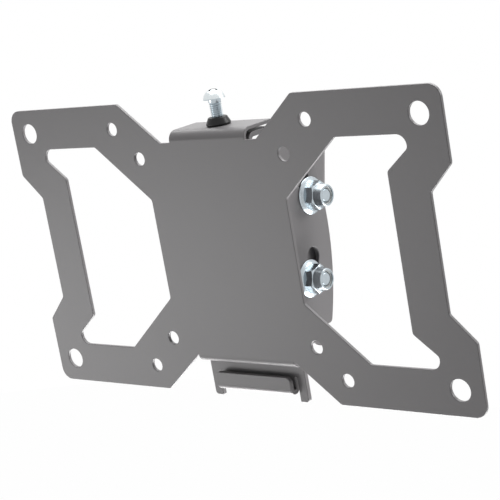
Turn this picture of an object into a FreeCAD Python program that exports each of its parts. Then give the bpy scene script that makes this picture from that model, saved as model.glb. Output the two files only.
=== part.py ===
"""Tilting wall bracket for a flat screen, in millimetres.

The screen plate has the standard 75 and 100 mm square hole patterns and a 200 x 100 one.

The row frame has its origin on the wall, at the centre of the wall bracket's back.
+X is to the viewer's right, +Y goes into the wall and +Z is up, so the front faces -Y.
The head and what hangs on it are drawn upright in a plate frame, whose origin is the
middle of the screen plate's front face, and are then tipped forward to the rest pose.
"""
import FreeCAD, Part
import math
import os

V = FreeCAD.Vector

# Tilt and its virtual pivot, which lies ahead of the screen plate
tilt_deg = 15.0
pivot_ahead_of_plate = 12.9
pivot_above_centre = 4.5
plate_to_wall = 33.4
plate_below_origin = 2.7

# Sheet thicknesses and bends
head_sheet = 2.0
screen_sheet = 1.5
head_bend_inside = 1.0
wall_bend_inside = 2.0

# Screen plate outline, from its centre
plate_half_width = 110.0
plate_half_height = 60.0
waist_half_width = 100.0
waist_half_height = 22.0
arm_inner_x = 45.0
arm_end_half_height = 32.0
corner_radius = 5.0
nook_radius = 2.0
window_inner_x = 35.0
window_outer_x = 83.0
window_end_x = 93.0
window_half_height = 43.0
window_shoulder_x = 62.0
window_straight_half = 20.5
window_step_low = 30.0
window_step_high = 38.0
window_corner_radius = 4.0

# Screen plate flanges
top_flange_half_width = 19.5
top_flange_height = 48.0
top_flange_depth = 17.2
top_bend_inside = 2.5
notch_height = 43.5
notch_outer_x = 25.0
notch_corner_radius = 0.6
bottom_flange_half_width = 25.0
bottom_flange_drop = 47.0
bottom_bend_inside = 1.5

# Screw holes for the screen
wide_hole_x = 100.0
wide_hole_z = 50.0
wide_hole_diameter = 8.5
square_spacings = (100.0, 75.0)
square_hole_diameter = 5.5

# Tilt head: a channel whose front sheet stands behind the screen plate
head_front = 5.4
ear_outside_x = 27.5
ear_top = 39.0
ear_bottom = -35.3
ear_rear = 31.3
ear_rear_radius = 109.0
ear_corner_radius = 2.0
top_tab_half_width = 19.0
top_tab_gap = 1.1
top_tab_depth = 16.2
top_tab_slit = 1.2
top_tab_root = 31.5
top_tab_step_low = 32.5
top_tab_step_high = 35.5
leg_outer_x = 24.5
leg_inner_x = 20.3
leg_end = -62.7
leg_corner_radius = 1.4
leg_inner_radius = 0.4
hook_half_width = 19.4
hook_bottom = -59.3
hook_front = 1.8
hook_lip_top = -51.6
hook_lip_radius = 2.2
hook_slit_top = -52.5
hook_root = 1.0
access_hole_diameter = 10.0

# Wall bracket: a channel that stands inside the head's ears
ear_gap = 0.8
wall_half_height = 40.0
wall_ear_depth = 21.0
wall_ear_tip_half = 17.5
wall_ear_corner_radius = 4.0
wall_ear_root_depth = 8.0
wall_screw_x = 12.0
wall_screw_z = 20.0
wall_screw_hole_diameter = 6.5

# Tilt bolts, flange nuts, their inserts and the friction washers
bolt_from_wall = 15.0
bolt_mid_height = 2.75
bolt_spacing = 32.0
bolt_diameter = 6.0
bolt_length = 12.5
bolt_head_diameter = 13.0
bolt_head_height = 3.0
bolt_end_chamfer = 0.7
slot_width = 7.0
square_neck_clearance = 0.05
thread_clearance = 0.03
washer_diameter = 11.4
washer_bore_clearance = 0.2
nut_flange_diameter = 14.6
nut_flange_rim = 0.6
nut_flange_height = 1.3
nut_across_flats = 10.0
nut_corner_height = 4.5
nut_hex_top = 4.9
nut_collar_foot_diameter = 9.7
nut_end_diameter = 8.3
nut_end_chamfer = 0.2
nut_height = 8.3
nut_lip = 0.5
turning_margin = 0.1
insert_diameter = 7.4
insert_window_diameter = 6.9
insert_height = 2.0

# Lock screw and its grommet, on the screen plate's top flange
lock_from_front = 9.0
lock_diameter = 5.0
lock_length = 16.0
lock_stand_off = 10.4
lock_head_diameter = 8.7
lock_head_height = 3.8
lock_running_clearance = 0.05
lock_tip_chamfer = 0.6
cross_width = 1.4
cross_span = 5.8
cross_depth = 2.2
grommet_base_diameter = 9.8
grommet_top_diameter = 8.0
grommet_height = 3.4
grommet_round = 0.7
grommet_neck_diameter = 7.0
grommet_neck_clearance = 0.05

# Sizes that follow from the ones above
ear_inside_x = ear_outside_x - head_sheet
head_back = head_front + head_sheet
wall_outside_x = ear_inside_x - ear_gap
wall_inside_x = wall_outside_x - head_sheet
tab_top = top_flange_height - screen_sheet - top_tab_gap
pivot = V(0, -pivot_ahead_of_plate, pivot_above_centre)
plate_origin = V(0, -plate_to_wall, -plate_below_origin)
bolt_heights = (bolt_mid_height + bolt_spacing / 2, bolt_mid_height - bolt_spacing / 2)


def tipped(shape):
    """Turn a shape of the plate frame forward and put it in the row frame."""
    placed = shape.copy()
    placed.rotate(V(0, 0, 0), V(1, 0, 0), tilt_deg)
    placed.translate(plate_origin)
    return placed


def to_plate_frame(y, z):
    """A point of the row frame, as y and z of the plate frame at the rest pose."""
    point = FreeCAD.Rotation(V(1, 0, 0), -tilt_deg).multVec(V(0, y, z) - plate_origin)
    return point.y, point.z


def rounded_wire(corners, to_point):
    """Closed outline of straight runs, each corner (a, b, radius) rounded by an arc."""
    count = len(corners)
    ends = []
    for i, (a, b, radius) in enumerate(corners):
        here = V(a, b, 0)
        before = (V(*corners[i - 1][:2], 0) - here).normalize()
        after = (V(*corners[(i + 1) % count][:2], 0) - here).normalize()
        half = before.getAngle(after) / 2
        if radius <= 0:
            ends.append((here, None, here))
            continue
        reach = radius / math.tan(half)
        middle = here + (before + after).normalize() * (radius / math.sin(half) - radius)
        ends.append((here + before * reach, middle, here + after * reach))
    edges = []
    for i, (start, middle, stop) in enumerate(ends):
        if middle is not None:
            points = [to_point(p.x, p.y) for p in (start, middle, stop)]
            edges.append(Part.Arc(*points).toShape())
        following = ends[(i + 1) % count][0]
        if stop.distanceToPoint(following) > 1e-6:
            edges.append(Part.LineSegment(to_point(stop.x, stop.y),
                                          to_point(following.x, following.y)).toShape())
    return Part.Wire(edges)


def front_outline(corners):
    return rounded_wire(corners, lambda x, z: V(x, 0, z))


def side_outline(corners):
    return rounded_wire(corners, lambda y, z: V(0, y, z))


def slab(wire, direction, start=V(0, 0, 0)):
    """Solid of an outline swept along a direction, from a start offset."""
    face = Part.Face(wire)
    face.translate(start)
    return face.extrude(direction)


def both_sides(shape):
    """The shape and its mirror image across the object's middle."""
    return [shape, shape.mirror(V(0, 0, 0), V(1, 0, 0))]


def mirrored_corners(right_half):
    """Full outline from its right half, listed from top middle to bottom middle."""
    left_half = [(-x, z, radius) for x, z, radius in reversed(right_half)]
    return right_half + left_half


def drill_y(x, z, diameter, depth_from, depth_to):
    return Part.makeCylinder(diameter / 2, depth_to - depth_from, V(x, depth_from, z), V(0, 1, 0))


def bent_flange(half_width, bend_start, edge_level, sheet, inside, front, depth, up):
    """Quarter bend and flat flange that turn back from the top or bottom of a sheet."""
    outside = inside + sheet
    sign = 1 if up else -1
    centre_y = front + outside
    centre_z = bend_start
    slope = math.sqrt(0.5)
    outer = Part.Arc(V(0, front, centre_z),
                     V(0, centre_y - outside * slope, centre_z + sign * outside * slope),
                     V(0, centre_y, edge_level)).toShape()
    inner = Part.Arc(V(0, centre_y, edge_level - sign * sheet),
                     V(0, centre_y - inside * slope, centre_z + sign * inside * slope),
                     V(0, front + sheet, centre_z)).toShape()
    runs = [
        (V(0, centre_y, edge_level), V(0, depth, edge_level)),
        (V(0, depth, edge_level), V(0, depth, edge_level - sign * sheet)),
        (V(0, depth, edge_level - sign * sheet), V(0, centre_y, edge_level - sign * sheet)),
        (V(0, front + sheet, centre_z), V(0, front, centre_z)),
    ]
    straight = [Part.LineSegment(*run).toShape() for run in runs]
    wire = Part.Wire([outer, straight[0], straight[1], straight[2], inner, straight[3]])
    return slab(wire, V(2 * half_width, 0, 0), V(-half_width, 0, 0))


def screen_plate_outline():
    bend_top = top_flange_height - top_bend_inside - screen_sheet
    bend_bottom = -bottom_flange_drop + bottom_bend_inside + screen_sheet
    right_half = [
        (top_flange_half_width, bend_top, 0),
        (top_flange_half_width, notch_height, 0),
        (notch_outer_x, notch_height, notch_corner_radius),
        (arm_inner_x, plate_half_height, nook_radius),
        (plate_half_width, plate_half_height, corner_radius),
        (plate_half_width, arm_end_half_height, nook_radius),
        (waist_half_width, waist_half_height, nook_radius),
        (waist_half_width, -waist_half_height, nook_radius),
        (plate_half_width, -arm_end_half_height, nook_radius),
        (plate_half_width, -plate_half_height, corner_radius),
        (arm_inner_x, -plate_half_height, nook_radius),
        (bottom_flange_half_width, bend_bottom, 0),
    ]
    return front_outline(mirrored_corners(right_half))


def screen_plate_window():
    corners = [
        (window_inner_x, window_straight_half, nook_radius),
        (window_shoulder_x, window_half_height, nook_radius),
        (window_end_x, window_half_height, window_corner_radius),
        (window_end_x, window_step_high, nook_radius),
        (window_outer_x, window_step_low, nook_radius),
        (window_outer_x, -window_step_low, nook_radius),
        (window_end_x, -window_step_high, nook_radius),
        (window_end_x, -window_half_height, window_corner_radius),
        (window_shoulder_x, -window_half_height, nook_radius),
        (window_inner_x, -window_straight_half, nook_radius),
    ]
    return slab(front_outline(corners), V(0, screen_sheet, 0))


def screen_plate():
    """Flat X-shaped plate with two windows, a top hook flange and a short bottom flange."""
    plate = slab(screen_plate_outline(), V(0, screen_sheet, 0))
    holes = []
    holes += both_sides(screen_plate_window())
    for side in (-1, 1):
        for level in (-1, 1):
            holes.append(drill_y(side * wide_hole_x, level * wide_hole_z,
                                 wide_hole_diameter, 0, screen_sheet))
            for spacing in square_spacings:
                holes.append(drill_y(side * spacing / 2, level * spacing / 2,
                                     square_hole_diameter, 0, screen_sheet))
    plate = plate.cut(holes)
    top_start = top_flange_height - top_bend_inside - screen_sheet
    top = bent_flange(top_flange_half_width, top_start, top_flange_height, screen_sheet,
                      top_bend_inside, 0, top_flange_depth, True)
    bottom_start = -bottom_flange_drop + bottom_bend_inside + screen_sheet
    bottom = bent_flange(bottom_flange_half_width, bottom_start, -bottom_flange_drop,
                         screen_sheet, bottom_bend_inside, 0, head_front, False)
    lock_hole = Part.makeCylinder(grommet_neck_diameter / 2 + grommet_neck_clearance,
                                  screen_sheet,
                                  V(0, lock_from_front, top_flange_height - screen_sheet))
    return plate.fuse([top, bottom]).removeSplitter().cut(lock_hole)


def slot_about_pivot(y, z):
    """Curved slot in an ear, in which a bolt runs as the head tips about the pivot."""
    arm = V(0, y, z) - pivot
    radius = arm.Length
    start = math.degrees(math.atan2(arm.z, arm.y))

    def on_arc(angle, distance):
        turn = math.radians(start + angle)
        return pivot + V(0, distance * math.cos(turn), distance * math.sin(turn))

    half = slot_width / 2
    before = -math.degrees(half / radius)
    after = tilt_deg + math.degrees(half / radius)
    edges = [
        Part.Arc(on_arc(0, radius + half), on_arc(tilt_deg / 2, radius + half),
                 on_arc(tilt_deg, radius + half)),
        Part.Arc(on_arc(tilt_deg, radius + half), on_arc(after, radius),
                 on_arc(tilt_deg, radius - half)),
        Part.Arc(on_arc(tilt_deg, radius - half), on_arc(tilt_deg / 2, radius - half),
                 on_arc(0, radius - half)),
        Part.Arc(on_arc(0, radius - half), on_arc(before, radius), on_arc(0, radius + half)),
    ]
    wire = Part.Wire([edge.toShape() for edge in edges])
    return slab(wire, V(2 * ear_outside_x, 0, 0), V(-ear_outside_x, 0, 0))


def head_channel():
    """Front sheet and two ears of the head, as one bent channel with a shaped rear edge."""
    bend_outside = head_bend_inside + head_sheet
    outer = [
        (-ear_outside_x, ear_rear, 0), (-ear_outside_x, head_front, bend_outside),
        (ear_outside_x, head_front, bend_outside), (ear_outside_x, ear_rear, 0),
        (ear_inside_x, ear_rear, 0), (ear_inside_x, head_back, head_bend_inside),
        (-ear_inside_x, head_back, head_bend_inside), (-ear_inside_x, ear_rear, 0),
    ]
    section = rounded_wire(outer, lambda x, y: V(x, y, 0))
    channel = slab(section, V(0, 0, ear_top - ear_bottom), V(0, 0, ear_bottom))
    return channel.common(ear_side_shape())


def ear_side_shape():
    """Side view of the head's ears: a bowed rear edge that clears the wall when tipped."""
    bow_centre = V(0, ear_rear - ear_rear_radius, pivot_above_centre)

    def on_bow(z):
        rise = z - bow_centre.z
        return V(0, bow_centre.y + math.sqrt(ear_rear_radius ** 2 - rise ** 2), z)

    top_rear = on_bow(ear_top)
    bottom_rear = on_bow(ear_bottom)
    wire = Part.Wire([
        Part.LineSegment(V(0, 0, ear_bottom), bottom_rear).toShape(),
        Part.Arc(bottom_rear, on_bow(bow_centre.z), top_rear).toShape(),
        Part.LineSegment(top_rear, V(0, 0, ear_top)).toShape(),
        Part.LineSegment(V(0, 0, ear_top), V(0, 0, ear_bottom)).toShape(),
    ])
    side = slab(wire, V(2 * ear_outside_x, 0, 0), V(-ear_outside_x, 0, 0))
    corners = []
    for edge in side.Edges:
        if all(vertex.Point.y > ear_rear / 2 for vertex in edge.Vertexes):
            if abs(edge.Vertexes[0].Point.x - edge.Vertexes[-1].Point.x) > ear_outside_x:
                corners.append(edge)
    return side.makeFillet(ear_corner_radius, corners)


def head_tab_room():
    """What is cut from the front sheet for the top tab and the slit at each side of it."""
    half = top_tab_half_width + top_tab_slit
    return Part.makeBox(2 * half, head_sheet, ear_top - top_tab_root,
                        V(-half, head_front, top_tab_root))


def head_top_tab():
    """Tongue of the front sheet that steps forward by one thickness, then bends back on top."""
    front = head_front - head_sheet
    bend_outside = head_bend_inside + head_sheet
    slope = math.atan2(head_sheet, top_tab_step_high - top_tab_step_low)
    back_rise = head_sheet * math.tan(slope / 2)
    strip = side_outline([
        (head_front, top_tab_root, 0),
        (head_front, top_tab_step_low, head_bend_inside),
        (front, top_tab_step_high, bend_outside),
        (front, tab_top, bend_outside),
        (top_tab_depth, tab_top, 0),
        (top_tab_depth, tab_top - head_sheet, 0),
        (head_front, tab_top - head_sheet, head_bend_inside),
        (head_front, top_tab_step_high + back_rise, head_bend_inside),
        (head_back, top_tab_step_low + back_rise, bend_outside),
        (head_back, top_tab_root, 0),
    ])
    return slab(strip, V(2 * top_tab_half_width, 0, 0), V(-top_tab_half_width, 0, 0))


def head_legs():
    """Bottom of the front sheet, with a leg each side of the gap for the hook."""
    corners = mirrored_corners([
        (leg_outer_x, ear_bottom, 0),
        (leg_outer_x, leg_end, leg_corner_radius),
        (leg_inner_x, leg_end, leg_inner_radius),
        (leg_inner_x, hook_slit_top, (leg_inner_x - hook_half_width) / 2),
        (hook_half_width, hook_slit_top, 0),
        (hook_half_width, hook_slit_top - hook_root, 0),
    ])
    return slab(front_outline(corners), V(0, head_sheet, 0), V(0, head_front, 0))


def head_hook():
    """Tongue of the front sheet, folded forward and up into an open trough."""
    outside = (head_back - hook_front) / 2
    inside = outside - head_sheet
    centre = V(0, hook_front + outside, hook_bottom + outside)
    fold_top = hook_slit_top - hook_root
    fold = Part.Wire([
        Part.LineSegment(V(0, head_back, fold_top), V(0, head_back, centre.z)).toShape(),
        Part.Arc(V(0, head_back, centre.z), centre - V(0, 0, outside),
                 V(0, hook_front, centre.z)).toShape(),
        Part.LineSegment(V(0, hook_front, centre.z), V(0, hook_front, hook_lip_top)).toShape(),
        Part.LineSegment(V(0, hook_front, hook_lip_top),
                         V(0, hook_front + head_sheet, hook_lip_top)).toShape(),
        Part.LineSegment(V(0, hook_front + head_sheet, hook_lip_top),
                         V(0, hook_front + head_sheet, centre.z)).toShape(),
        Part.Arc(V(0, hook_front + head_sheet, centre.z), centre - V(0, 0, inside),
                 V(0, head_front, centre.z)).toShape(),
        Part.LineSegment(V(0, head_front, centre.z), V(0, head_front, fold_top)).toShape(),
        Part.LineSegment(V(0, head_front, fold_top), V(0, head_back, fold_top)).toShape(),
    ])
    trough = slab(fold, V(2 * hook_half_width, 0, 0), V(-hook_half_width, 0, 0))
    lip_corners = []
    for edge in trough.Edges:
        ends = [vertex.Point for vertex in edge.Vertexes]
        if all(abs(p.z - hook_lip_top) < 1e-4 for p in ends):
            if abs(ends[0].x - ends[-1].x) < 1e-4:
                lip_corners.append(edge)
    return trough.makeFillet(hook_lip_radius, lip_corners)


def tilt_head():
    """Channel, top tab, legs and hook as one folded sheet, with slots and access holes."""
    channel = head_channel().cut(head_tab_room())
    sheet = channel.fuse([head_top_tab(), head_legs(), head_hook()]).removeSplitter()
    cuts = []
    for height in bolt_heights:
        cuts.append(slot_about_pivot(*to_plate_frame(-bolt_from_wall, height)))
    upright_shift = upright_origin().z
    for side in (-1, 1):
        for level in (-1, 1):
            height = level * wall_screw_z - upright_shift
            cuts.append(drill_y(side * wall_screw_x, height, access_hole_diameter,
                                head_front, head_back))
    screw_hole = Part.makeCylinder(lock_diameter / 2 + lock_running_clearance, head_sheet,
                                   V(0, lock_from_front, tab_top - head_sheet))
    cuts.append(screw_hole)
    return sheet.cut(cuts)


def upright_origin():
    """Where the plate frame's origin stands in the row frame when the head is upright."""
    turn = FreeCAD.Rotation(V(1, 0, 0), tilt_deg)
    return plate_origin + turn.multVec(pivot) - pivot


def wall_channel():
    """Back plate against the wall and two ears that reach forward."""
    bend_outside = wall_bend_inside + head_sheet
    outer = [
        (-wall_outside_x, -wall_ear_depth, 0), (-wall_outside_x, 0, bend_outside),
        (wall_outside_x, 0, bend_outside), (wall_outside_x, -wall_ear_depth, 0),
        (wall_inside_x, -wall_ear_depth, 0), (wall_inside_x, -head_sheet, wall_bend_inside),
        (-wall_inside_x, -head_sheet, wall_bend_inside), (-wall_inside_x, -wall_ear_depth, 0),
    ]
    section = rounded_wire(outer, lambda x, y: V(x, y, 0))
    return slab(section, V(0, 0, 2 * wall_half_height), V(0, 0, -wall_half_height))


def wall_bracket():
    """The channel with tapered ears, square holes for the bolts and four screw holes."""
    tip_top = bolt_mid_height + wall_ear_tip_half
    tip_bottom = bolt_mid_height - wall_ear_tip_half
    side = side_outline([
        (0, -wall_half_height, 0),
        (-wall_ear_root_depth, -wall_half_height, wall_ear_corner_radius),
        (-wall_ear_depth, tip_bottom, wall_ear_corner_radius),
        (-wall_ear_depth, tip_top, wall_ear_corner_radius),
        (-wall_ear_root_depth, wall_half_height, wall_ear_corner_radius),
        (0, wall_half_height, 0),
    ])
    profile = slab(side, V(2 * wall_outside_x, 0, 0), V(-wall_outside_x, 0, 0))
    bracket = wall_channel().common(profile)
    cuts = []
    neck = bolt_diameter + 2 * square_neck_clearance
    for height in bolt_heights:
        cuts.append(Part.makeBox(2 * wall_outside_x, neck, neck,
                                 V(-wall_outside_x, -bolt_from_wall - neck / 2,
                                   height - neck / 2)))
    for across in (-1, 1):
        for level in (-1, 1):
            cuts.append(drill_y(across * wall_screw_x, level * wall_screw_z,
                                wall_screw_hole_diameter, -head_sheet, 0))
    return bracket.cut(cuts)


def along_x(profile, height):
    """Turned part about a tilt bolt's axis, from (x, radius) corners starting on the axis."""
    points = [V(x, radius, 0) for x, radius in profile]
    face = Part.Face(Part.makePolygon(points + [points[0]]))
    turned = face.revolve(V(0, 0, 0), V(1, 0, 0), 360)
    turned.translate(V(0, -bolt_from_wall, height))
    return turned


def carriage_bolt(height):
    """Domed head inside the wall ear, square neck in its square hole, round shank outward."""
    underside = wall_inside_x
    head_radius = bolt_head_diameter / 2
    shank_radius = bolt_diameter / 2 - thread_clearance
    dome_radius = (head_radius ** 2 + bolt_head_height ** 2) / (2 * bolt_head_height)
    dome_centre = underside - bolt_head_height + dome_radius
    ball = Part.makeSphere(dome_radius, V(dome_centre, -bolt_from_wall, height))
    disc = Part.makeCylinder(head_radius, bolt_head_height,
                             V(underside - bolt_head_height, -bolt_from_wall, height),
                             V(1, 0, 0))
    head = ball.common(disc)
    neck = Part.makeBox(head_sheet, bolt_diameter, bolt_diameter,
                        V(underside, -bolt_from_wall - bolt_diameter / 2,
                          height - bolt_diameter / 2))
    end = underside + bolt_length
    shank = along_x([(underside, 0), (underside, shank_radius),
                     (end - bolt_end_chamfer, shank_radius),
                     (end, shank_radius - bolt_end_chamfer), (end, 0)], height)
    return head.fuse([neck, shank]).removeSplitter()


def flange_nut(height):
    """Hexagon nut with a sloped flange below and a tapered collar that holds the insert."""
    base = ear_outside_x
    end = base + nut_height
    flange_radius = nut_flange_diameter / 2
    corner_radius_of_hex = nut_across_flats / math.sqrt(3)
    end_radius = nut_end_diameter / 2
    bore = bolt_diameter / 2
    flange = along_x([(base, 0), (base, flange_radius), (base + nut_flange_rim, flange_radius),
                      (base + nut_flange_height, corner_radius_of_hex),
                      (base + nut_flange_height, 0)], height)
    corners = []
    for i in range(6):
        turn = math.radians(60 * i + 90)
        corners.append(V(0, corner_radius_of_hex * math.cos(turn),
                         corner_radius_of_hex * math.sin(turn)))
    prism = slab(Part.makePolygon(corners + [corners[0]]),
                 V(nut_height, 0, 0), V(base, -bolt_from_wall, height))
    blank_radius = corner_radius_of_hex + turning_margin
    blank = along_x([(base, 0), (base, blank_radius), (base + nut_corner_height, blank_radius),
                     (base + nut_hex_top, nut_across_flats / 2),
                     (base + nut_hex_top, nut_collar_foot_diameter / 2),
                     (end - nut_end_chamfer, end_radius),
                     (end, end_radius - nut_end_chamfer), (end, 0)], height)
    body = flange.fuse(prism.common(blank)).removeSplitter()
    seat_end = end - nut_lip
    hollow = along_x([(base, 0), (base, bore), (seat_end - insert_height, bore),
                      (seat_end - insert_height, insert_diameter / 2),
                      (seat_end, insert_diameter / 2), (seat_end, insert_window_diameter / 2),
                      (end, insert_window_diameter / 2), (end, 0)], height)
    return body.cut(hollow)


def nut_insert(height):
    """Nylon ring held in the nut's collar, which grips the bolt's thread."""
    seat_end = ear_outside_x + nut_height - nut_lip
    bore = bolt_diameter / 2
    seat = seat_end - insert_height
    return along_x([(seat, bore), (seat, insert_diameter / 2),
                    (seat_end, insert_diameter / 2), (seat_end, bore)], height)


def friction_washer(height):
    """Plastic washer between a wall ear and a head ear, which gives the tilt its drag."""
    outer = Part.makeCylinder(washer_diameter / 2, ear_gap,
                              V(wall_outside_x, -bolt_from_wall, height), V(1, 0, 0))
    hole = Part.makeCylinder(bolt_diameter / 2 + washer_bore_clearance, ear_gap,
                             V(wall_outside_x, -bolt_from_wall, height), V(1, 0, 0))
    return outer.cut(hole)


def lock_screw():
    """Round-headed screw that stands up out of the top flange before it is tightened."""
    underside = top_flange_height + lock_stand_off
    shank_radius = lock_diameter / 2
    head_radius = lock_head_diameter / 2
    dome_radius = (head_radius ** 2 + lock_head_height ** 2) / (2 * lock_head_height)
    axis = V(0, lock_from_front, 0)
    ball = Part.makeSphere(dome_radius, axis + V(0, 0, underside + lock_head_height - dome_radius))
    disc = Part.makeCylinder(head_radius, lock_head_height, axis + V(0, 0, underside))
    end = underside - lock_length
    tip = Part.makeCone(shank_radius - lock_tip_chamfer, shank_radius, lock_tip_chamfer,
                        axis + V(0, 0, end))
    shank = Part.makeCylinder(shank_radius, lock_length - lock_tip_chamfer,
                              axis + V(0, 0, end + lock_tip_chamfer))
    screw = ball.common(disc).fuse([shank, tip]).removeSplitter()
    crown = underside + lock_head_height
    cross = []
    for turn in (0, 90):
        bar = Part.makeBox(cross_span, cross_width, cross_depth,
                           axis + V(-cross_span / 2, -cross_width / 2, crown - cross_depth))
        bar.rotate(axis, V(0, 0, 1), turn)
        cross.append(bar)
    return screw.cut(cross)


def screw_grommet():
    """Tapered rubber bush on the top flange, with a neck down into the flange's hole."""
    bottom = top_flange_height - screen_sheet
    bore = lock_diameter / 2 + lock_running_clearance
    base = grommet_base_diameter / 2
    top = grommet_top_diameter / 2
    neck = grommet_neck_diameter / 2
    crown = top_flange_height + grommet_height
    shoulder = top_flange_height + grommet_round
    profile = [(bore, bottom), (neck, bottom), (neck, top_flange_height),
               (base - grommet_round / 2, top_flange_height), (base, shoulder),
               (top, crown - grommet_round), (top - grommet_round, crown), (bore, crown)]
    points = [V(radius, 0, z) for radius, z in profile]
    turned = Part.Face(Part.makePolygon(points + [points[0]])).revolve(V(0, 0, 0), V(0, 0, 1), 360)
    turned.translate(V(0, lock_from_front, 0))
    return turned


def save(name, shape):
    shape.exportStep(os.path.join("parts", name + ".step"))
    box = shape.BoundBox
    print("%-24s solids %d valid %s volume %.0f box %.1f %.1f %.1f" % (
        name, len(shape.Solids), shape.isValid(), shape.Volume,
        box.XLength, box.YLength, box.ZLength))


def build():
    os.makedirs("parts", exist_ok=True)
    save("wall_bracket", wall_bracket())
    save("tilt_head", tipped(tilt_head()))
    save("screen_plate", tipped(screen_plate()))
    save("screw_grommet", tipped(screw_grommet()))
    save("lock_screw", tipped(lock_screw()))
    makers = {
        "carriage_bolt": carriage_bolt,
        "friction_washer": friction_washer,
        "flange_nut": flange_nut,
        "nut_insert": nut_insert,
    }
    for name, maker in makers.items():
        for level, height in zip(("upper", "lower"), bolt_heights):
            right, left = both_sides(maker(height))
            save("%s_%s_right" % (name, level), right)
            save("%s_%s_left" % (name, level), left)


build()
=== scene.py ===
"""Looks of the tilting wall bracket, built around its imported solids."""

import bmesh
import bpy
import math
from mathutils import Matrix, Vector


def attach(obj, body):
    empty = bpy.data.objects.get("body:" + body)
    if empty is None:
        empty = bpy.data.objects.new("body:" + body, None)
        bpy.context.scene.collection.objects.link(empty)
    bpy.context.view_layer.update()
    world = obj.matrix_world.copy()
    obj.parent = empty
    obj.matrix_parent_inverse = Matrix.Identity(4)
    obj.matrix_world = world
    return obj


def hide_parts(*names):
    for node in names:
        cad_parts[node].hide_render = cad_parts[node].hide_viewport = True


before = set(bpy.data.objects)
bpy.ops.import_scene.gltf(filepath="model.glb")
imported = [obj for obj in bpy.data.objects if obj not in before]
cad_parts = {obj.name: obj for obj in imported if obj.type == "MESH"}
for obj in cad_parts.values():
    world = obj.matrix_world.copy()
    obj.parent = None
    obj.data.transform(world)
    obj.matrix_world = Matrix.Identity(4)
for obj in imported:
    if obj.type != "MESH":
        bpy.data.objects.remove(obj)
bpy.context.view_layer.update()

# The steel sheets.
# The screen plate, the tilt head and the wall channel are punched and folded from flat steel.
# All three are powder coated grey, and the coat rounds every punched edge a little.
COAT_GREY = (0.196, 0.188, 0.192, 1.0)
COAT_ROUGHNESS = 0.40
COAT_WAVE_SIZE = 0.0011
COAT_WAVE_DEPTH = 0.30
COAT_TONE_CHANGE = 0.02
WAVE_DETAIL = 3.0
WAVE_SOFTNESS = 0.45
WAVE_HEIGHT = 0.0001
CLOUD_SCALE = 28.0
CLOUD_DETAIL = 2.0
CLOUD_LOW = 0.3
CLOUD_HIGH = 0.7
COAT_EDGE = 0.00028
COAT_EDGE_STEPS = 3
ROUND_PROFILE = 0.5
FLAT_FACE_WEIGHT = 100
FOLD_ANGLE = math.radians(40)
FLAT_ANGLE = math.radians(0.5)
SAME_POINT = 2e-6


def name_sockets(group, *amounts):
    """Give a group a colour and amounts to take in; colour, roughness and normal come out."""
    sockets = group.interface
    sockets.new_socket("Colour", in_out="INPUT", socket_type="NodeSocketColor")
    for amount in amounts:
        sockets.new_socket(amount, in_out="INPUT", socket_type="NodeSocketFloat")
    sockets.new_socket("Colour", in_out="OUTPUT", socket_type="NodeSocketColor")
    sockets.new_socket("Roughness", in_out="OUTPUT", socket_type="NodeSocketFloat")
    sockets.new_socket("Normal", in_out="OUTPUT", socket_type="NodeSocketVector")


def orange_peel():
    """Node group: the fine waves of a baked powder coat, and its small change of tone."""
    group = bpy.data.node_groups.new("powder coat", "ShaderNodeTree")
    name_sockets(group, "Wave Size", "Wave Depth", "Tone Change", "Roughness")
    nodes = group.nodes
    links = group.links
    given = nodes.new("NodeGroupInput")
    made = nodes.new("NodeGroupOutput")
    place = nodes.new("ShaderNodeTexCoord")
    scale = nodes.new("ShaderNodeMath")
    scale.operation = "DIVIDE"
    scale.inputs[0].default_value = 1.0
    links.new(given.outputs["Wave Size"], scale.inputs[1])
    waves = nodes.new("ShaderNodeTexNoise")
    waves.inputs["Detail"].default_value = WAVE_DETAIL
    waves.inputs["Roughness"].default_value = WAVE_SOFTNESS
    links.new(place.outputs["Object"], waves.inputs["Vector"])
    links.new(scale.outputs[0], waves.inputs["Scale"])
    bump = nodes.new("ShaderNodeBump")
    bump.inputs["Distance"].default_value = WAVE_HEIGHT
    links.new(given.outputs["Wave Depth"], bump.inputs["Strength"])
    links.new(waves.outputs["Fac"], bump.inputs["Height"])
    clouds = nodes.new("ShaderNodeTexNoise")
    clouds.inputs["Scale"].default_value = CLOUD_SCALE
    clouds.inputs["Detail"].default_value = CLOUD_DETAIL
    links.new(place.outputs["Object"], clouds.inputs["Vector"])
    spread = nodes.new("ShaderNodeMapRange")
    spread.inputs["From Min"].default_value = CLOUD_LOW
    spread.inputs["From Max"].default_value = CLOUD_HIGH
    links.new(clouds.outputs["Fac"], spread.inputs["Value"])
    less = nodes.new("ShaderNodeMath")
    less.operation = "SUBTRACT"
    less.inputs[0].default_value = 1.0
    links.new(given.outputs["Tone Change"], less.inputs[1])
    more = nodes.new("ShaderNodeMath")
    more.operation = "ADD"
    more.inputs[0].default_value = 1.0
    links.new(given.outputs["Tone Change"], more.inputs[1])
    links.new(less.outputs[0], spread.inputs["To Min"])
    links.new(more.outputs[0], spread.inputs["To Max"])
    tone = nodes.new("ShaderNodeVectorMath")
    tone.operation = "SCALE"
    links.new(given.outputs["Colour"], tone.inputs[0])
    links.new(spread.outputs["Result"], tone.inputs["Scale"])
    gloss = nodes.new("ShaderNodeMath")
    gloss.operation = "MULTIPLY"
    links.new(given.outputs["Roughness"], gloss.inputs[0])
    links.new(spread.outputs["Result"], gloss.inputs[1])
    links.new(tone.outputs[0], made.inputs["Colour"])
    links.new(gloss.outputs[0], made.inputs["Roughness"])
    links.new(bump.outputs["Normal"], made.inputs["Normal"])
    return group


coat_group = orange_peel()


def new_material(name):
    """An empty node material with its shader, and the shader itself."""
    material = bpy.data.materials.new(name)
    material.use_nodes = True
    shader = material.node_tree.nodes["Principled BSDF"]
    return material, shader


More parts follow.
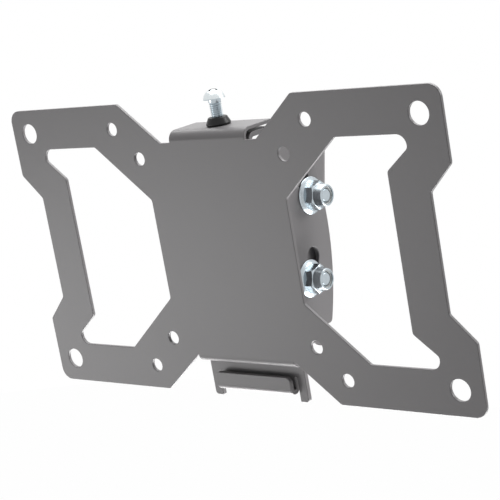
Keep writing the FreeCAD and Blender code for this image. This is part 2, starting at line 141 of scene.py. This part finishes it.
def finish_with(material, shader, group, **values):
    """Put a shared effect in a material and feed its outputs to the shader."""
    effect = material.node_tree.nodes.new("ShaderNodeGroup")
    effect.node_tree = group
    for name, value in values.items():
        effect.inputs[name.replace("_", " ")].default_value = value
    links = material.node_tree.links
    links.new(effect.outputs["Colour"], shader.inputs["Base Color"])
    links.new(effect.outputs["Roughness"], shader.inputs["Roughness"])
    links.new(effect.outputs["Normal"], shader.inputs["Normal"])


grey_coat, shader = new_material("grey powder coat")
finish_with(grey_coat, shader, coat_group, Colour=COAT_GREY, Wave_Size=COAT_WAVE_SIZE,
            Wave_Depth=COAT_WAVE_DEPTH, Tone_Change=COAT_TONE_CHANGE, Roughness=COAT_ROUGHNESS)


def add_piece(name, mesh, material, body, finish_slot, *nodes):
    """Show a finished mesh as a piece on a body, in place of the nodes it stands for."""
    mesh.materials.clear()
    mesh.materials.append(material)
    piece = bpy.data.objects.new(name, mesh)
    bpy.context.scene.collection.objects.link(piece)
    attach(piece, body)
    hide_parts(*nodes)
    return piece


def edges_over(shape, angle):
    """Edges of a shape at which the surface turns by more than an angle."""
    return [edge for edge in shape.edges
            if len(edge.link_faces) == 2 and edge.calc_face_angle() > angle]


def soft_edged(node, name, radius):
    """Mesh of a node with its folds kept and every punched edge rounded by the coat."""
    shape = bmesh.new()
    shape.from_mesh(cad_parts[node].data)
    bmesh.ops.remove_doubles(shape, verts=shape.verts, dist=SAME_POINT)
    bmesh.ops.dissolve_limit(shape, angle_limit=FLAT_ANGLE, verts=shape.verts, edges=shape.edges)
    bmesh.ops.bevel(shape, geom=edges_over(shape, FOLD_ANGLE), offset=radius,
                    segments=COAT_EDGE_STEPS, profile=ROUND_PROFILE, affect="EDGES",
                    clamp_overlap=False, material=-1)
    mesh = bpy.data.meshes.new(name)
    shape.to_mesh(mesh)
    shape.free()
    mesh.shade_smooth()
    return mesh


def coated_sheet(node, body):
    """Show a sheet-metal node with its coat; its flat faces keep flat shading up to the edge."""
    name = node + "_coated"
    mesh = soft_edged(node, name, COAT_EDGE)
    sheet = add_piece(name, mesh, grey_coat, body, "bracket_steel", node)
    flats = sheet.modifiers.new("flat faces", "WEIGHTED_NORMAL")
    flats.keep_sharp = False
    flats.weight = FLAT_FACE_WEIGHT


coated_sheet("screen_plate", "head")
coated_sheet("tilt_head", "head")
coated_sheet("wall_bracket", "wall")

# The tilt bolts.
# Four zinc-plated carriage bolts hold the ears together, with their domed heads inside the channel.
# The square neck sits in the ear's square hole, so the bolt can't turn under its nut.
ZINC = (0.48, 0.535, 0.57, 1.0)
ZINC_ROUGHNESS = 0.24
ZINC_CLOUD_SIZE = 0.0022
ZINC_CLOUD_DETAIL = 4.0
ZINC_TONES = (0.92, 1.05)
ZINC_DULLNESS = (0.75, 1.3)
SCRATCH_SHARE = 0.12
SCRATCH_DEPTH = 0.00005
SCRATCH_STRETCH = (400.0, 2600.0, 2600.0)
BOLT_AXIS_Y = -0.015
BOLT_HEIGHTS = {"upper": 0.01875, "lower": -0.01325}
SIDES = {"right": 1, "left": -1}
BOLT_HEAD_FACE = 0.0197
BOLT_UNDERSIDE = 0.0227
BOLT_HEAD_RADIUS = 0.0065
BOLT_HEAD_RIM = 0.0004
BOLT_NECK_END = 0.0247
BOLT_NECK_HALF = 0.003
BOLT_RADIUS = 0.00297
BOLT_END = 0.0352
BOLT_CHAMFER = 0.0007
DOME_STEPS = 10
TURN_STEPS = 64
SMALL_EDGE = 0.00012


def brushed_zinc():
    """Node group: the slightly blue, cloudy shine of bright zinc plate."""
    group = bpy.data.node_groups.new("zinc plate", "ShaderNodeTree")
    name_sockets(group, "Cloud Size", "Roughness", "Scratch Depth")
    nodes = group.nodes
    links = group.links
    given = nodes.new("NodeGroupInput")
    made = nodes.new("NodeGroupOutput")
    place = nodes.new("ShaderNodeTexCoord")
    scale = nodes.new("ShaderNodeMath")
    scale.operation = "DIVIDE"
    scale.inputs[0].default_value = 1.0
    links.new(given.outputs["Cloud Size"], scale.inputs[1])
    clouds = nodes.new("ShaderNodeTexNoise")
    clouds.inputs["Detail"].default_value = ZINC_CLOUD_DETAIL
    links.new(place.outputs["Object"], clouds.inputs["Vector"])
    links.new(scale.outputs[0], clouds.inputs["Scale"])
    tone = nodes.new("ShaderNodeMapRange")
    tone.inputs["To Min"].default_value = ZINC_TONES[0]
    tone.inputs["To Max"].default_value = ZINC_TONES[1]
    links.new(clouds.outputs["Fac"], tone.inputs["Value"])
    colour = nodes.new("ShaderNodeVectorMath")
    colour.operation = "SCALE"
    links.new(given.outputs["Colour"], colour.inputs[0])
    links.new(tone.outputs["Result"], colour.inputs["Scale"])
    dull = nodes.new("ShaderNodeMapRange")
    dull.inputs["To Min"].default_value = ZINC_DULLNESS[0]
    dull.inputs["To Max"].default_value = ZINC_DULLNESS[1]
    links.new(clouds.outputs["Fac"], dull.inputs["Value"])
    gloss = nodes.new("ShaderNodeMath")
    gloss.operation = "MULTIPLY"
    links.new(given.outputs["Roughness"], gloss.inputs[0])
    links.new(dull.outputs["Result"], gloss.inputs[1])
    stretch = nodes.new("ShaderNodeMapping")
    stretch.inputs["Scale"].default_value = SCRATCH_STRETCH
    links.new(place.outputs["Object"], stretch.inputs["Vector"])
    scratches = nodes.new("ShaderNodeTexNoise")
    scratches.inputs["Scale"].default_value = 1.0
    links.new(stretch.outputs["Vector"], scratches.inputs["Vector"])
    bump = nodes.new("ShaderNodeBump")
    bump.inputs["Distance"].default_value = SCRATCH_DEPTH
    links.new(given.outputs["Scratch Depth"], bump.inputs["Strength"])
    links.new(scratches.outputs["Fac"], bump.inputs["Height"])
    links.new(colour.outputs[0], made.inputs["Colour"])
    links.new(gloss.outputs[0], made.inputs["Roughness"])
    links.new(bump.outputs["Normal"], made.inputs["Normal"])
    return group


zinc_group = brushed_zinc()


def zinc_finish(name, colour):
    """A material of zinc-plated steel in a given tone."""
    finish, shader = new_material(name)
    finish_with(finish, shader, zinc_group, Colour=colour, Cloud_Size=ZINC_CLOUD_SIZE,
                Roughness=ZINC_ROUGHNESS, Scratch_Depth=SCRATCH_SHARE)
    shader.inputs["Metallic"].default_value = 1.0
    return finish


zinc = zinc_finish("bright zinc plate", ZINC)


def turned(shape, profile, centre, axis):
    """Spin a profile of (along, radius) points about an axis into a closed skin."""
    axis = Vector(axis).normalized()
    side = axis.orthogonal().normalized()
    centre = Vector(centre)
    verts = [shape.verts.new(centre + axis * along + side * radius) for along, radius in profile]
    edges = [shape.edges.new(pair) for pair in zip(verts, verts[1:])]
    bmesh.ops.spin(shape, geom=verts + edges, cent=centre, axis=axis, dvec=(0, 0, 0),
                   angle=2 * math.pi, steps=TURN_STEPS, use_merge=True)
    bmesh.ops.remove_doubles(shape, verts=shape.verts, dist=SAME_POINT)


def arc(centre, radius, start, stop, steps):
    """Points (along, radius) on an arc, from a start to a stop angle in degrees."""
    angles = [math.radians(start + (stop - start) * i / steps) for i in range(steps + 1)]
    return [(centre[0] + radius * math.cos(a), centre[1] + radius * math.sin(a)) for a in angles]


def mesh_from(shape, name, crease_angle):
    """Close a finished shape into a mesh, smooth but for edges sharper than an angle."""
    bmesh.ops.recalc_face_normals(shape, faces=shape.faces)
    for face in shape.faces:
        face.smooth = True
    for edge in shape.edges:
        edge.smooth = not (len(edge.link_faces) == 2 and edge.calc_face_angle() > crease_angle)
    mesh = bpy.data.meshes.new(name)
    shape.to_mesh(mesh)
    shape.free()
    return mesh


def carriage_bolt(side, height):
    """One carriage bolt along X: domed head, square neck, shank and chamfered end."""
    shape = bmesh.new()
    rise = BOLT_UNDERSIDE - BOLT_HEAD_FACE - BOLT_HEAD_RIM
    dome = (BOLT_HEAD_RADIUS ** 2 + rise ** 2) / (2 * rise)
    spread = math.degrees(math.asin(BOLT_HEAD_RADIUS / dome))
    profile = arc((BOLT_HEAD_FACE + dome, 0.0), dome, 180, 180 - spread, DOME_STEPS)
    profile += [(BOLT_UNDERSIDE, BOLT_HEAD_RADIUS), (BOLT_UNDERSIDE, 0.0)]
    centre = Vector((0.0, BOLT_AXIS_Y, height))
    turned(shape, profile, centre, (1, 0, 0))
    turned(shape, [(BOLT_UNDERSIDE, 0.0), (BOLT_UNDERSIDE, BOLT_RADIUS),
                   (BOLT_END - BOLT_CHAMFER, BOLT_RADIUS),
                   (BOLT_END, BOLT_RADIUS - BOLT_CHAMFER), (BOLT_END, 0.0)],
           centre, (1, 0, 0))
    neck_length = BOLT_NECK_END - BOLT_UNDERSIDE
    neck_middle = centre + Vector((BOLT_UNDERSIDE + neck_length / 2, 0, 0))
    neck = bmesh.ops.create_cube(shape, size=2 * BOLT_NECK_HALF)["verts"]
    bmesh.ops.scale(shape, verts=neck, vec=(neck_length / (2 * BOLT_NECK_HALF), 1, 1))
    bmesh.ops.translate(shape, verts=neck, vec=neck_middle)
    if side < 0:
        bmesh.ops.scale(shape, verts=shape.verts, vec=(-1, 1, 1))
    return shape


for level, height in BOLT_HEIGHTS.items():
    for hand, side in SIDES.items():
        node = "carriage_bolt_%s_%s" % (level, hand)
        mesh = mesh_from(carriage_bolt(side, height), node + "_zinc", FOLD_ANGLE)
        add_piece(node + "_zinc", mesh, zinc, "wall", "zinc_plate", node)

# The friction washers and the nuts' rings.
# Each ear runs on a thin nylon washer, punched from sheet; the washers are coloured near black as
# painted shade, for the shade that falls in the slots around the bolts.
# A turned ring of natural, slightly see-through nylon in each nut grips the bolt's thread.
NYLON = (0.62, 0.63, 0.62, 1.0)
# Near black as painted shade: the washers show only inside the shaded slots, and this colour stands
# in for that shade.
SHADE_PAINTED_NYLON = (0.035, 0.035, 0.037, 1.0)
NYLON_ROUGHNESS = 0.42
NYLON_WAVE_SIZE = 0.0009
NYLON_WAVE_DEPTH = 0.15
NYLON_TONE_CHANGE = 0.05
NYLON_GLOW = 0.15
NYLON_GLOW_REACH = (0.001, 0.001, 0.001)
nylon, shader = new_material("natural nylon")
finish_with(nylon, shader, coat_group, Colour=NYLON, Wave_Size=NYLON_WAVE_SIZE,
            Wave_Depth=NYLON_WAVE_DEPTH, Tone_Change=NYLON_TONE_CHANGE,
            Roughness=NYLON_ROUGHNESS)
shader.inputs["Subsurface Weight"].default_value = NYLON_GLOW
shader.inputs["Subsurface Radius"].default_value = NYLON_GLOW_REACH
shader.inputs["Subsurface Scale"].default_value = 1.0
# The washers' material: nylon painted near black as shade.
shade_painted_nylon, shader = new_material("nylon painted as shade")
finish_with(shade_painted_nylon, shader, coat_group, Colour=SHADE_PAINTED_NYLON, Wave_Size=NYLON_WAVE_SIZE,
            Wave_Depth=NYLON_WAVE_DEPTH, Tone_Change=NYLON_TONE_CHANGE,
            Roughness=NYLON_ROUGHNESS)
# The nut rings get natural nylon; the friction washers get the near-black painted shade.
for node in sorted(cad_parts):
    if node.startswith(("friction_washer", "nut_insert")):
        finish = nylon if node.startswith("nut_insert") else shade_painted_nylon
        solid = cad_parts[node].data
        solid.materials.clear()
        solid.materials.append(finish)

# The flange nuts.
# Hexagon nuts with a wide sloped flange press the ears together, outside the head.
# Each is forged, its outer end is drawn in to a round collar, and it is plated as the bolts are.
NUT_BASE = 0.0275
NUT_FLANGE_RADIUS = 0.0073
NUT_FLANGE_RIM = 0.0006
NUT_FLANGE_TOP = 0.0013
NUT_ACROSS_FLATS = 0.010
NUT_CORNER_HEIGHT = 0.0045
NUT_HEX_TOP = 0.0049
NUT_BLANK_RADIUS = 0.0058735
NUT_COLLAR_FOOT_RADIUS = 0.00485
NUT_HEIGHT = 0.0083
NUT_END_RADIUS = 0.00415
NUT_END_CHAMFER = 0.0002
NUT_MOUTH_RADIUS = 0.00345
NUT_LIP = 0.0005
NUT_SEAT_RADIUS = 0.0037
NUT_SEAT_DEPTH = 0.0025
NUT_BORE = 0.003
NUT_SIDES = 6
NUT_FACET_STEPS = 12
NUT_EDGE = 0.00018
NUT_CREASE = math.radians(24)


def nut_ring(shape, along, radius, centre):
    """A closed loop round the nut's axis; the distance and the radius may follow the angle."""
    count = NUT_SIDES * NUT_FACET_STEPS
    verts = []
    for i in range(count):
        angle = 2 * math.pi * i / count
        to_flat = abs(angle % (2 * math.pi / NUT_SIDES) - math.pi / NUT_SIDES)
        reach = radius(to_flat) if callable(radius) else radius
        place = along(to_flat) if callable(along) else along
        spot = Vector((NUT_BASE + place, reach * math.sin(angle), reach * math.cos(angle)))
        verts.append(shape.verts.new(centre + spot))
    return [shape.edges.new((verts[i - 1], verts[i])) for i in range(count)]


def flange_nut(side, height):
    """One nut along X: sloped flange, chamfered hexagon, drawn-in collar and stepped bore."""
    shape = bmesh.new()
    centre = Vector((0.0, BOLT_AXIS_Y, height))
    half_flats = NUT_ACROSS_FLATS / 2
    corner = NUT_ACROSS_FLATS / math.sqrt(3)

    def hexagon(to_flat):
        """How far the flat lies from the axis, at an angle from the flat's middle."""
        return half_flats / math.cos(to_flat)

    def turned_top(to_flat):
        """How high the hexagon reaches there, since its corners are turned off to a cone."""
        share = (NUT_BLANK_RADIUS - hexagon(to_flat)) / (NUT_BLANK_RADIUS - half_flats)
        return NUT_CORNER_HEIGHT + share * (NUT_HEX_TOP - NUT_CORNER_HEIGHT)

    seat_end = NUT_HEIGHT - NUT_LIP
    seat = NUT_HEIGHT - NUT_SEAT_DEPTH
    rings = [(0.0, NUT_BORE), (0.0, NUT_FLANGE_RADIUS - NUT_EDGE),
             (NUT_EDGE, NUT_FLANGE_RADIUS), (NUT_FLANGE_RIM - NUT_EDGE, NUT_FLANGE_RADIUS),
             (NUT_FLANGE_RIM, NUT_FLANGE_RADIUS - NUT_EDGE), (NUT_FLANGE_TOP, corner + SMALL_EDGE),
             (NUT_FLANGE_TOP, hexagon), (turned_top, hexagon),
             (NUT_HEX_TOP + SMALL_EDGE, half_flats - SMALL_EDGE),
             (NUT_HEX_TOP + SMALL_EDGE, NUT_COLLAR_FOOT_RADIUS),
             (NUT_HEIGHT - NUT_END_CHAMFER, NUT_END_RADIUS),
             (NUT_HEIGHT, NUT_END_RADIUS - NUT_END_CHAMFER), (NUT_HEIGHT, NUT_MOUTH_RADIUS),
             (seat_end, NUT_MOUTH_RADIUS), (seat_end, NUT_SEAT_RADIUS), (seat, NUT_SEAT_RADIUS),
             (seat, NUT_BORE), (0.0, NUT_BORE)]
    loops = [nut_ring(shape, along, radius, centre) for along, radius in rings]
    for near, far in zip(loops, loops[1:]):
        bmesh.ops.bridge_loops(shape, edges=near + far)
    bmesh.ops.remove_doubles(shape, verts=shape.verts, dist=SAME_POINT)
    bmesh.ops.recalc_face_normals(shape, faces=shape.faces)
    if side < 0:
        bmesh.ops.scale(shape, verts=shape.verts, vec=(-1, 1, 1))
    return shape


for level, height in BOLT_HEIGHTS.items():
    for hand, side in SIDES.items():
        node = "flange_nut_%s_%s" % (level, hand)
        mesh = mesh_from(flange_nut(side, height), node + "_zinc", NUT_CREASE)
        add_piece(node + "_zinc", mesh, zinc, "wall", "zinc_plate", node)

# The lock screw.
# A steel round-head screw, zinc-plated, with a cross recess; the recess is painted near black as
# painted shade, and the head a lighter zinc as a painted highlight.
# It is driven through the top flange into the head, so that the plate can't be lifted off.
TILT = math.radians(15)
PLATE_CENTRE = Vector((0.0, -0.0334, -0.0027))
LOCK_FROM_FRONT = 0.009
LOCK_UNDERSIDE = 0.0584
LOCK_RADIUS = 0.0025
LOCK_ROOT_RADIUS = 0.00205
LOCK_NECK_END = 0.0572
LOCK_TIP = 0.0424
LOCK_TIP_RADIUS = 0.0019
LOCK_TIP_LENGTH = 0.0006
LOCK_PITCH = 0.0008
LOCK_HEAD_RADIUS = 0.00435
LOCK_HEAD_HEIGHT = 0.0038
CROSS_WIDTH = 0.0014
CROSS_SPAN = 0.0058
CROSS_DEPTH = 0.0022
CROSS_TAPER = 0.7
UPRIGHT_FACE = 0.5
# The head's lighter zinc is a painted highlight, standing in for the bright light on its dome.
HEAD_HIGHLIGHT_ZINC = (0.70, 0.745, 0.76, 1.0)
HEAD_HIGHLIGHT_SLOT = 1
# The cross recess is painted near black: painted shade, for the shade that falls inside it.
RECESS_PAINTED_SHADE = (0.06, 0.065, 0.07, 1.0)
RECESS_SHADE_SLOT = 2
THREAD_STEPS = 32
THREAD_FLAT = 0.12
THREAD_LEAD_IN = 1.5
THREAD_SPARE_TURNS = 2
CUT_TOLERANCE = 1e-7
LOCK_CROWN = LOCK_UNDERSIDE + LOCK_HEAD_HEIGHT
LOCK_DOME = (LOCK_HEAD_RADIUS ** 2 + LOCK_HEAD_HEIGHT ** 2) / (2 * LOCK_HEAD_HEIGHT)
LOCK_MIDDLE = Vector((0.0, LOCK_FROM_FRONT, 0.0))
LEAN = Matrix.Rotation(TILT, 3, "X")


def tip_forward(shape):
    """Turn a shape drawn in the upright plate's frame to the rest tilt, and put it in place."""
    bmesh.ops.rotate(shape, verts=shape.verts, cent=(0, 0, 0), matrix=LEAN)
    bmesh.ops.translate(shape, verts=shape.verts, vec=PLATE_CENTRE)


def screw_thread(shape, low, high, crest, root, pitch):
    """A V thread between two heights, spun as a helix and cut square at both ends."""
    turns = math.ceil((high - low) / pitch) + THREAD_SPARE_TURNS
    start = low - pitch * THREAD_LEAD_IN
    points = [(0.0, root), (pitch * THREAD_FLAT, root), (pitch * (1 - THREAD_FLAT) / 2, crest),
              (pitch * (1 + THREAD_FLAT) / 2, crest), (pitch * (1 - THREAD_FLAT), root),
              (pitch, root)]
    verts = [shape.verts.new(LOCK_MIDDLE + Vector((radius, 0, start + along)))
             for along, radius in points]
    edges = [shape.edges.new(pair) for pair in zip(verts, verts[1:])]
    bmesh.ops.spin(shape, geom=verts + edges, cent=LOCK_MIDDLE, axis=(0, 0, 1),
                   dvec=(0, 0, pitch / THREAD_STEPS), angle=2 * math.pi * turns,
                   steps=THREAD_STEPS * turns)
    bmesh.ops.remove_doubles(shape, verts=shape.verts, dist=SAME_POINT)
    for level, outward in ((low, (0, 0, -1)), (high, (0, 0, 1))):
        cut = bmesh.ops.bisect_plane(shape, geom=shape.verts[:] + shape.edges[:] + shape.faces[:],
                                     dist=CUT_TOLERANCE, plane_co=(0, 0, level),
                                     plane_no=outward, clear_outer=True)
        rim = [item for item in cut["geom_cut"] if isinstance(item, bmesh.types.BMEdge)]
        bmesh.ops.holes_fill(shape, edges=rim)


def cut_away(name, body_shape, tool_shape):
    """Mesh of one closed shape less another."""
    solid = bpy.data.objects.new(name, mesh_from(body_shape, name, FOLD_ANGLE))
    tool = bpy.data.objects.new(name + "_tool", mesh_from(tool_shape, name + "_tool", FOLD_ANGLE))
    for item in (solid, tool):
        bpy.context.scene.collection.objects.link(item)
    cutter = solid.modifiers.new("cut", "BOOLEAN")
    cutter.operation = "DIFFERENCE"
    cutter.solver = "EXACT"
    cutter.object = tool
    graph = bpy.context.evaluated_depsgraph_get()
    cut = bpy.data.meshes.new_from_object(solid.evaluated_get(graph), depsgraph=graph)
    for item in (solid, tool):
        bpy.data.objects.remove(item)
    return cut


def lock_screw_head():
    """The domed head with its cross recess cut in."""
    head = bmesh.new()
    spread = math.degrees(math.asin(LOCK_HEAD_RADIUS / LOCK_DOME))
    profile = arc((LOCK_CROWN - LOCK_DOME, 0.0), LOCK_DOME, 0, spread, 2 * DOME_STEPS)
    profile += [(LOCK_UNDERSIDE, LOCK_HEAD_RADIUS - SMALL_EDGE), (LOCK_UNDERSIDE, 0.0)]
    turned(head, profile, LOCK_MIDDLE, (0, 0, 1))
    recess = bmesh.new()
    bmesh.ops.create_cube(recess, size=CROSS_WIDTH)
    wings = [face for face in recess.faces if abs(face.normal.z) < UPRIGHT_FACE]
    for wing in bmesh.ops.extrude_discrete_faces(recess, faces=wings)["faces"]:
        reach = wing.normal * (CROSS_SPAN - CROSS_WIDTH) / 2
        bmesh.ops.translate(recess, verts=wing.verts, vec=reach)
    bmesh.ops.scale(recess, verts=recess.verts, vec=(1, 1, 2 * CROSS_DEPTH / CROSS_WIDTH))
    foot = [vert for vert in recess.verts if vert.co.z < 0]
    bmesh.ops.scale(recess, verts=foot, vec=(CROSS_TAPER, CROSS_TAPER, 1))
    crown_point = LOCK_MIDDLE + Vector((0, 0, LOCK_CROWN))
    bmesh.ops.translate(recess, verts=recess.verts, vec=crown_point)
    return cut_away("lock_screw_head", head, recess)


screw = bmesh.new()
screw_thread(screw, LOCK_TIP + LOCK_TIP_LENGTH, LOCK_NECK_END, LOCK_RADIUS, LOCK_ROOT_RADIUS,
             LOCK_PITCH)
turned(screw, [(LOCK_TIP, 0.0), (LOCK_TIP, LOCK_TIP_RADIUS),
               (LOCK_TIP + LOCK_TIP_LENGTH, LOCK_ROOT_RADIUS),
               (LOCK_TIP + LOCK_TIP_LENGTH, 0.0)], LOCK_MIDDLE, (0, 0, 1))
turned(screw, [(LOCK_NECK_END - LOCK_PITCH, 0.0), (LOCK_NECK_END - LOCK_PITCH, LOCK_ROOT_RADIUS),
               (LOCK_NECK_END, LOCK_RADIUS), (LOCK_UNDERSIDE + SMALL_EDGE, LOCK_RADIUS),
               (LOCK_UNDERSIDE + SMALL_EDGE, 0.0)], LOCK_MIDDLE, (0, 0, 1))
bmesh.ops.recalc_face_normals(screw, faces=screw.faces)
screw.from_mesh(lock_screw_head())
tip_forward(screw)
lock_screw = add_piece("lock_screw_zinc", mesh_from(screw, "lock_screw_zinc", FOLD_ANGLE), zinc,
                       "screw", "zinc_plate", "lock_screw")
# The head's dome gets a lighter zinc as a painted highlight.
lock_screw.data.materials.append(zinc_finish("zinc with painted head highlight", HEAD_HIGHLIGHT_ZINC))
# The near-black zinc in the cross recess is painted shade.
lock_screw.data.materials.append(zinc_finish("painted recess shade", RECESS_PAINTED_SHADE))
dome_middle = LOCK_MIDDLE + Vector((0, 0, LOCK_CROWN - LOCK_DOME))
# Faces of the head above its underside are recoloured: inside the cross recess with the painted
# shade, elsewhere on the dome with the painted highlight.
for face in lock_screw.data.polygons:
    spot = LEAN.transposed() @ (face.center - PLATE_CENTRE)
    if spot.z > LOCK_UNDERSIDE + 2 * SMALL_EDGE:
        in_recess = (spot - dome_middle).length < LOCK_DOME - SMALL_EDGE
        face.material_index = RECESS_SHADE_SLOT if in_recess else HEAD_HIGHLIGHT_SLOT

# The screw grommet.
# A tapered bush of black rubber sits in the top flange's hole and steadies the screw.
# It is moulded, with a soft shoulder at the foot and a rounded brow at the top.
RUBBER = (0.010, 0.010, 0.011, 1.0)
RUBBER_ROUGHNESS = 0.38
RUBBER_SHINE = 0.3
GROMMET_FOOT_RADIUS = 0.0049
GROMMET_TOP_RADIUS = 0.0040
GROMMET_HEIGHT = 0.0034
GROMMET_NECK_RADIUS = 0.0035
GROMMET_BORE = 0.00255
FLANGE_TOP = 0.048
FLANGE_UNDERSIDE = 0.0465
GROMMET_ROUND = 0.0008
SHOULDER_START = 140
SIDE_TURN = 80
BROW_END = 0
SHOULDER_STEPS = 6
BROW_STEPS = 8
RUBBER_WAVE_SIZE = 0.0007
RUBBER_WAVE_DEPTH = 0.35
RUBBER_TONE_CHANGE = 0.10
rubber, shader = new_material("black rubber")
finish_with(rubber, shader, coat_group, Colour=RUBBER, Wave_Size=RUBBER_WAVE_SIZE,
            Wave_Depth=RUBBER_WAVE_DEPTH, Tone_Change=RUBBER_TONE_CHANGE,
            Roughness=RUBBER_ROUGHNESS)
shader.inputs["Specular IOR Level"].default_value = RUBBER_SHINE
grommet = bmesh.new()
foot = FLANGE_TOP + GROMMET_ROUND
brow = FLANGE_TOP + GROMMET_HEIGHT - GROMMET_ROUND
profile = [(FLANGE_UNDERSIDE, GROMMET_BORE), (FLANGE_UNDERSIDE, GROMMET_NECK_RADIUS),
           (FLANGE_TOP, GROMMET_NECK_RADIUS),
           (FLANGE_TOP, GROMMET_FOOT_RADIUS - GROMMET_ROUND / 2)]
profile += arc((foot, GROMMET_FOOT_RADIUS - GROMMET_ROUND), GROMMET_ROUND, SHOULDER_START,
               SIDE_TURN, SHOULDER_STEPS)
profile += arc((brow, GROMMET_TOP_RADIUS - GROMMET_ROUND), GROMMET_ROUND, SIDE_TURN, BROW_END,
               BROW_STEPS)
profile += [(FLANGE_TOP + GROMMET_HEIGHT, GROMMET_BORE), (FLANGE_UNDERSIDE, GROMMET_BORE)]
turned(grommet, profile, LOCK_MIDDLE, (0, 0, 1))
tip_forward(grommet)
add_piece("screw_grommet_rubber", mesh_from(grommet, "screw_grommet_rubber", FOLD_ANGLE), rubber,
          "head", "black_rubber", "screw_grommet")

# The floor and the light.
# A plain white studio floor lies well below the bracket, inside a white surround.
# Large soft lamps stand above, below, low at the front left and high behind at the right.
FLOOR_HEIGHT = -0.62
FLOOR_HALF = 4.0
FLOOR_WHITE = (0.60, 0.60, 0.60, 1.0)
FLOOR_ROUGHNESS = 0.9
FLOOR_SEEN_WHITE = 0.99
PURE_WHITE = (1.0, 1.0, 1.0, 1.0)
SURROUND_TONE = (0.98, 0.99, 1.0, 1.0)
SURROUND_LIGHT = 0.16


def seen_or_mirrored(tree, target):
    """Link a value to a socket that is 1 where the camera or a shiny part looks, and else 0."""
    path = tree.nodes.new("ShaderNodeLightPath")
    either = tree.nodes.new("ShaderNodeMath")
    either.operation = "MAXIMUM"
    tree.links.new(path.outputs["Is Camera Ray"], either.inputs[0])
    tree.links.new(path.outputs["Is Glossy Ray"], either.inputs[1])
    tree.links.new(either.outputs[0], target)


floor_shape = bmesh.new()
bmesh.ops.create_grid(floor_shape, x_segments=1, y_segments=1, size=FLOOR_HALF)
bmesh.ops.translate(floor_shape, verts=floor_shape.verts, vec=(0, 0, FLOOR_HEIGHT))
floor_mesh = bpy.data.meshes.new("studio_floor")
floor_shape.to_mesh(floor_mesh)
floor_shape.free()
floor = bpy.data.objects.new("studio_floor", floor_mesh)
bpy.context.scene.collection.objects.link(floor)
floor_material, shader = new_material("studio white")
shader.inputs["Base Color"].default_value = FLOOR_WHITE
shader.inputs["Roughness"].default_value = FLOOR_ROUGHNESS
floor_mesh.materials.append(floor_material)
tree = floor_material.node_tree
glow = tree.nodes.new("ShaderNodeEmission")
glow.inputs["Color"].default_value = PURE_WHITE
blend = tree.nodes.new("ShaderNodeMixShader")
share = tree.nodes.new("ShaderNodeMath")
share.operation = "MULTIPLY"
share.inputs[1].default_value = FLOOR_SEEN_WHITE
seen_or_mirrored(tree, share.inputs[0])
tree.links.new(share.outputs[0], blend.inputs["Fac"])
tree.links.new(shader.outputs["BSDF"], blend.inputs[1])
tree.links.new(glow.outputs["Emission"], blend.inputs[2])
tree.links.new(blend.outputs["Shader"], tree.nodes["Material Output"].inputs["Surface"])

world = bpy.data.worlds.new("studio surround")
bpy.context.scene.world = world
world.use_nodes = True
tree = world.node_tree
background = tree.nodes["Background"]
background.inputs["Color"].default_value = SURROUND_TONE
background.inputs["Strength"].default_value = SURROUND_LIGHT
seen = tree.nodes.new("ShaderNodeBackground")
seen.inputs["Color"].default_value = PURE_WHITE
seen.inputs["Strength"].default_value = 1.0
blend = tree.nodes.new("ShaderNodeMixShader")
seen_or_mirrored(tree, blend.inputs["Fac"])
tree.links.new(background.outputs["Background"], blend.inputs[1])
tree.links.new(seen.outputs["Background"], blend.inputs[2])
tree.links.new(blend.outputs["Shader"], tree.nodes["World Output"].inputs["Surface"])


def soft_lamp(name, place, width, height, power):
    """A rectangular softbox at a place, turned towards the bracket; its power is in watts."""
    lamp = bpy.data.lights.new(name, "AREA")
    lamp.shape = "RECTANGLE"
    lamp.size = width
    lamp.size_y = height
    lamp.energy = power
    stand = bpy.data.objects.new(name, lamp)
    stand.location = place
    stand.rotation_mode = "QUATERNION"
    stand.rotation_quaternion = (-Vector(place)).to_track_quat("-Z", "Y")
    bpy.context.scene.collection.objects.link(stand)


soft_lamp("top softbox", place=(-0.05, 0.05, 0.5), width=0.7, height=0.6, power=4.4)
soft_lamp("left softbox", place=(-0.75, -0.58, -0.40), width=0.6, height=0.3, power=2.45)
soft_lamp("right softbox", place=(0.62, 0.42, 0.42), width=0.3, height=0.3, power=3.0)
soft_lamp("low softbox", place=(0.0, 0.12, -0.28), width=0.5, height=0.3, power=3.2)

# The camera.
# It stands ahead of the bracket and to the right, at about its height, with a long lens.
CAMERA_PLACE = Vector((0.41127, -0.48891, 0.01020))
CAMERA_FORWARD = Vector((-0.65846, 0.75236, -0.02045)).normalized()
CAMERA_UP = Vector((-0.0128, 0.01629, 0.99979))
CAMERA_LENS = 113.84
CAMERA_SENSOR = 36.0
CAMERA_NEAR = 0.01
CAMERA_FAR = 50.0
camera_data = bpy.data.cameras.new("camera")
camera_data.lens = CAMERA_LENS
camera_data.sensor_width = CAMERA_SENSOR
camera_data.clip_start = CAMERA_NEAR
camera_data.clip_end = CAMERA_FAR
camera = bpy.data.objects.new("camera", camera_data)
bpy.context.scene.collection.objects.link(camera)
across = CAMERA_FORWARD.cross(CAMERA_UP).normalized()
upward = across.cross(CAMERA_FORWARD)
turn = Matrix((across, upward, -CAMERA_FORWARD)).transposed()
camera.matrix_world = Matrix.Translation(CAMERA_PLACE) @ turn.to_4x4()
bpy.context.scene.camera = camera
bpy.context.scene.view_settings.view_transform = "Standard"
